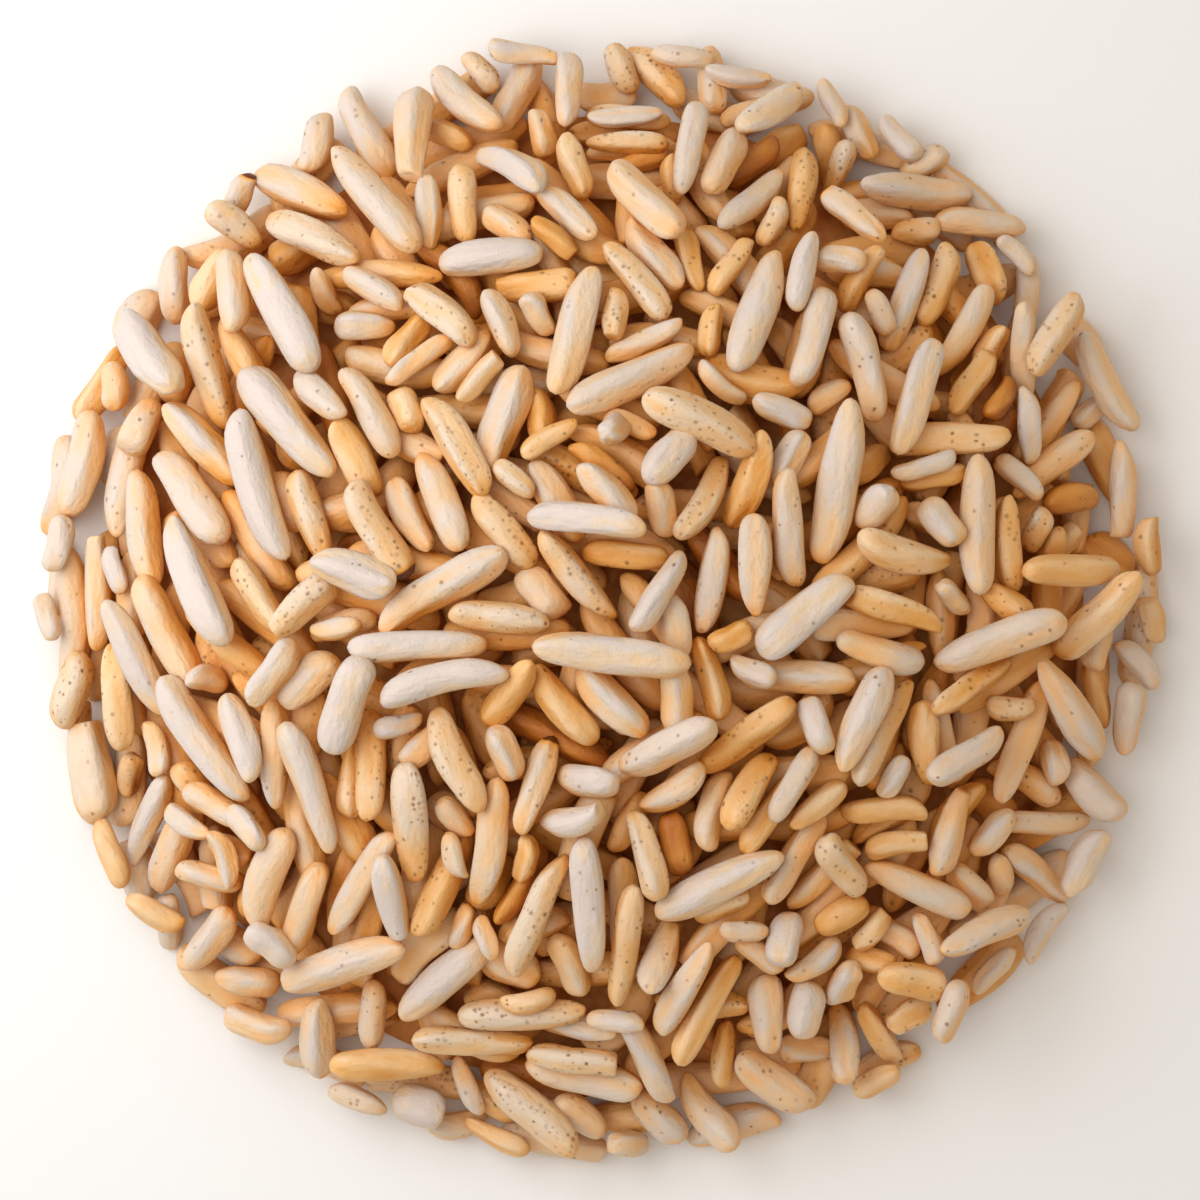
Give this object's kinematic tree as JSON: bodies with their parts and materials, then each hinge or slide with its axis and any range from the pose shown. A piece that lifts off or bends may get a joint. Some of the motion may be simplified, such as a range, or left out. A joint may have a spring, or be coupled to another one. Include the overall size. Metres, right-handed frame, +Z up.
{
  "type": "heap of puffed rice",
  "caption": "Low round heap of loose toasted puffed rice, pale to tan grains crossing and leaning as poured, lying on a bare surface.",
  "frame": {"origin": "on the surface that the heap lies on, under the middle of the heap", "axes": "+Z up out of the heap, +Y towards the top of the picture, +X to its right"},
  "size_m": [0.091, 0.09, 0.0236],
  "materials": {
    "puffed_rice": "toasted cream, faint dry sheen"
  },
  "bodies": {
    "root": {"puffed_rice": "puffed_rice"}
  },
  "joints": []
}
